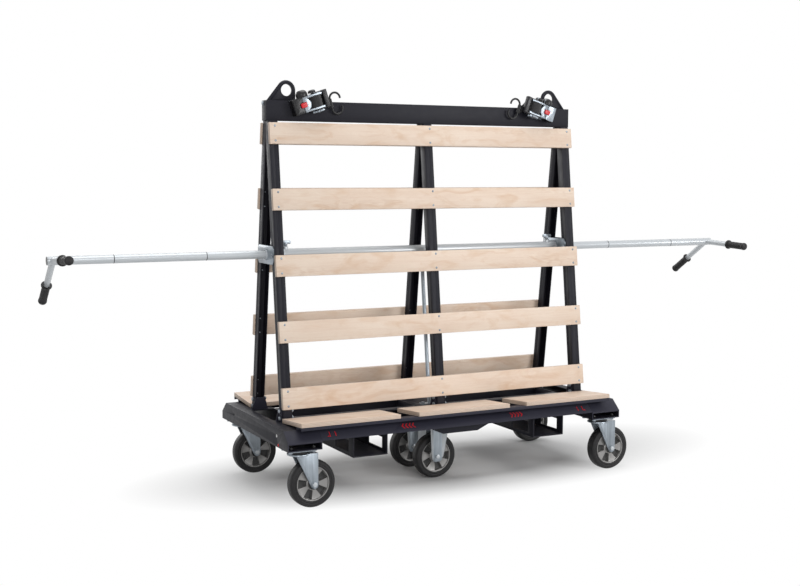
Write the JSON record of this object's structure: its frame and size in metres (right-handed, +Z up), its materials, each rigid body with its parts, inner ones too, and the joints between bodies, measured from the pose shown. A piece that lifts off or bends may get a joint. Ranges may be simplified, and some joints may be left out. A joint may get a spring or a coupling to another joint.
{
  "type": "plasterboard trolley",
  "caption": "Wheeled steel trolley with tilted plywood decks, a slatted A-frame back rest, telescopic handle bars, ratchet straps, lifting eyes and fork pockets for moving board on edge.",
  "frame": {"origin": "on the floor under the middle of the chassis", "axes": "+X along the trolley towards its right-hand handle, +Y from the pictured side to the other side, +Z up"},
  "size_m": [3.34, 0.7846, 1.7505],
  "materials": {
    "anthracite_steel": "powder coated, satin",
    "plywood": "pale lacquered plywood",
    "zinc_steel": "bright zinc",
    "rim_alloy": "die cast",
    "tyre_rubber": "matte",
    "grip_rubber": "matte",
    "webbing": "woven",
    "black_plastic": "moulded",
    "red_plastic": "moulded",
    "black_steel": "coated"
  },
  "bodies": {
    "chassis": {"left_end_channel": "anthracite_steel", "right_end_channel": "anthracite_steel", "mid_cross_member": "anthracite_steel", "side_rails": "anthracite_steel", "inner_beams": "anthracite_steel", "fork_pockets": "anthracite_steel", "deck_boards": "plywood", "front_posts": "anthracite_steel", "rear_posts": "anthracite_steel", "foot_brackets": "anthracite_steel", "front_slats": "plywood", "rear_slats": "plywood", "top_beam": "anthracite_steel", "lifting_eyes": "anthracite_steel", "handle_sleeve": "zinc_steel", "guide_plates": "zinc_steel", "sleeve_stay": "zinc_steel", "frame_bolts": "zinc_steel", "slat_screws": "zinc_steel", "castor_plates": "zinc_steel", "mid_forks": "zinc_steel", "mid_axles": "zinc_steel", "strap_frames": "zinc_steel", "strap_covers": "black_plastic", "strap_webbing": "webbing"},
    "front_left_swivel": {"front_left_fork": "zinc_steel", "front_left_axle": "zinc_steel"},
    "front_left_wheel": {"front_left_rim": "rim_alloy", "front_left_tyre": "tyre_rubber"},
    "rear_left_swivel": {"rear_left_fork": "zinc_steel", "rear_left_axle": "zinc_steel"},
    "rear_left_wheel": {"rear_left_rim": "rim_alloy", "rear_left_tyre": "tyre_rubber"},
    "front_right_swivel": {"front_right_fork": "zinc_steel", "front_right_axle": "zinc_steel"},
    "front_right_wheel": {"front_right_rim": "rim_alloy", "front_right_tyre": "tyre_rubber"},
    "rear_right_swivel": {"rear_right_fork": "zinc_steel", "rear_right_axle": "zinc_steel"},
    "rear_right_wheel": {"rear_right_rim": "rim_alloy", "rear_right_tyre": "tyre_rubber"},
    "front_mid_wheel": {"front_mid_rim": "rim_alloy", "front_mid_tyre": "tyre_rubber"},
    "rear_mid_wheel": {"rear_mid_rim": "rim_alloy", "rear_mid_tyre": "tyre_rubber"},
    "left_slider": {"left_stop_ring": "black_plastic"},
    "left_handle_bar": {"left_handle": "zinc_steel", "left_grips": "grip_rubber"},
    "left_clamp": {"left_clamp_screw": "zinc_steel"},
    "left_lever": {"left_strap_lever": "black_steel"},
    "left_button": {"left_strap_button": "red_plastic"},
    "left_hook": {"left_strap_hook": "black_steel"},
    "right_slider": {"right_stop_ring": "black_plastic"},
    "right_handle_bar": {"right_handle": "zinc_steel", "right_grips": "grip_rubber"},
    "right_clamp": {"right_clamp_screw": "zinc_steel"},
    "right_lever": {"right_strap_lever": "black_steel"},
    "right_button": {"right_strap_button": "red_plastic"},
    "right_hook": {"right_strap_hook": "black_steel"}
  },
  "joints": [
    {"name": "front_left_swivel_turn", "type": "hinge", "parent": "chassis", "child": "front_left_swivel", "pos_m": [-0.748, -0.325, 0.23], "axis": [0, 0, 1], "continuous": true},
    {"name": "front_left_wheel_spin", "type": "hinge", "parent": "front_left_swivel", "child": "front_left_wheel", "pos_m": [-0.692, -0.325, 0.1], "axis": [0, 1, 0], "continuous": true},
    {"name": "rear_left_swivel_turn", "type": "hinge", "parent": "chassis", "child": "rear_left_swivel", "pos_m": [-0.748, 0.325, 0.23], "axis": [0, 0, 1], "continuous": true},
    {"name": "rear_left_wheel_spin", "type": "hinge", "parent": "rear_left_swivel", "child": "rear_left_wheel", "pos_m": [-0.692, 0.325, 0.1], "axis": [0, 1, 0], "continuous": true},
    {"name": "front_right_swivel_turn", "type": "hinge", "parent": "chassis", "child": "front_right_swivel", "pos_m": [0.748, -0.325, 0.23], "axis": [0, 0, 1], "continuous": true},
    {"name": "front_right_wheel_spin", "type": "hinge", "parent": "front_right_swivel", "child": "front_right_wheel", "pos_m": [0.804, -0.325, 0.1], "axis": [0, 1, 0], "continuous": true},
    {"name": "rear_right_swivel_turn", "type": "hinge", "parent": "chassis", "child": "rear_right_swivel", "pos_m": [0.748, 0.325, 0.23], "axis": [0, 0, 1], "continuous": true},
    {"name": "rear_right_wheel_spin", "type": "hinge", "parent": "rear_right_swivel", "child": "rear_right_wheel", "pos_m": [0.804, 0.325, 0.1], "axis": [0, 1, 0], "continuous": true},
    {"name": "front_mid_wheel_spin", "type": "hinge", "parent": "chassis", "child": "front_mid_wheel", "pos_m": [0, -0.113, 0.1], "axis": [0, 1, 0], "continuous": true},
    {"name": "rear_mid_wheel_spin", "type": "hinge", "parent": "chassis", "child": "rear_mid_wheel", "pos_m": [0, 0.113, 0.1], "axis": [0, 1, 0], "continuous": true},
    {"name": "left_handle_slide", "type": "slide", "parent": "chassis", "child": "left_slider", "axis": [1, 0, 0], "range_m": [0, 0.58]},
    {"name": "left_handle_turn", "type": "hinge", "parent": "left_slider", "child": "left_handle_bar", "pos_m": [-0.62, 0, 1.018], "axis": [1, 0, 0], "continuous": true},
    {"name": "left_clamp_turn", "type": "hinge", "parent": "chassis", "child": "left_clamp", "pos_m": [-0.668, 0, 1.05], "axis": [0, 0, 1], "range_deg": [0, 360]},
    {"name": "left_lever_swing", "type": "hinge", "parent": "chassis", "child": "left_lever", "pos_m": [-0.55147, -0.05915, 1.66327], "axis": [0.309, 0, -0.9511], "range_deg": [0, 100]},
    {"name": "left_button_press", "type": "slide", "parent": "chassis", "child": "left_button", "axis": [0, 1, 0], "range_m": [0, 0.004], "stiffness_N_per_m": 600},
    {"name": "left_hook_swing", "type": "hinge", "parent": "chassis", "child": "left_hook", "pos_m": [-0.47434, -0.0394, 1.65889], "axis": [0.309, 0, -0.9511], "range_deg": [-5, 95]},
    {"name": "right_handle_slide", "type": "slide", "parent": "chassis", "child": "right_slider", "axis": [-1, 0, 0], "range_m": [0, 0.58]},
    {"name": "right_handle_turn", "type": "hinge", "parent": "right_slider", "child": "right_handle_bar", "pos_m": [0.62, 0, 1.018], "axis": [1, 0, 0], "continuous": true},
    {"name": "right_clamp_turn", "type": "hinge", "parent": "chassis", "child": "right_clamp", "pos_m": [0.668, 0, 1.05], "axis": [0, 0, 1], "range_deg": [0, 360]},
    {"name": "right_lever_swing", "type": "hinge", "parent": "chassis", "child": "right_lever", "pos_m": [0.55147, -0.05915, 1.66327], "axis": [0.309, 0, 0.9511], "range_deg": [0, 100]},
    {"name": "right_button_press", "type": "slide", "parent": "chassis", "child": "right_button", "axis": [0, 1, 0], "range_m": [0, 0.004], "stiffness_N_per_m": 600},
    {"name": "right_hook_swing", "type": "hinge", "parent": "chassis", "child": "right_hook", "pos_m": [0.47434, -0.0394, 1.65889], "axis": [0.309, 0, 0.9511], "range_deg": [-5, 95]}
  ]
}
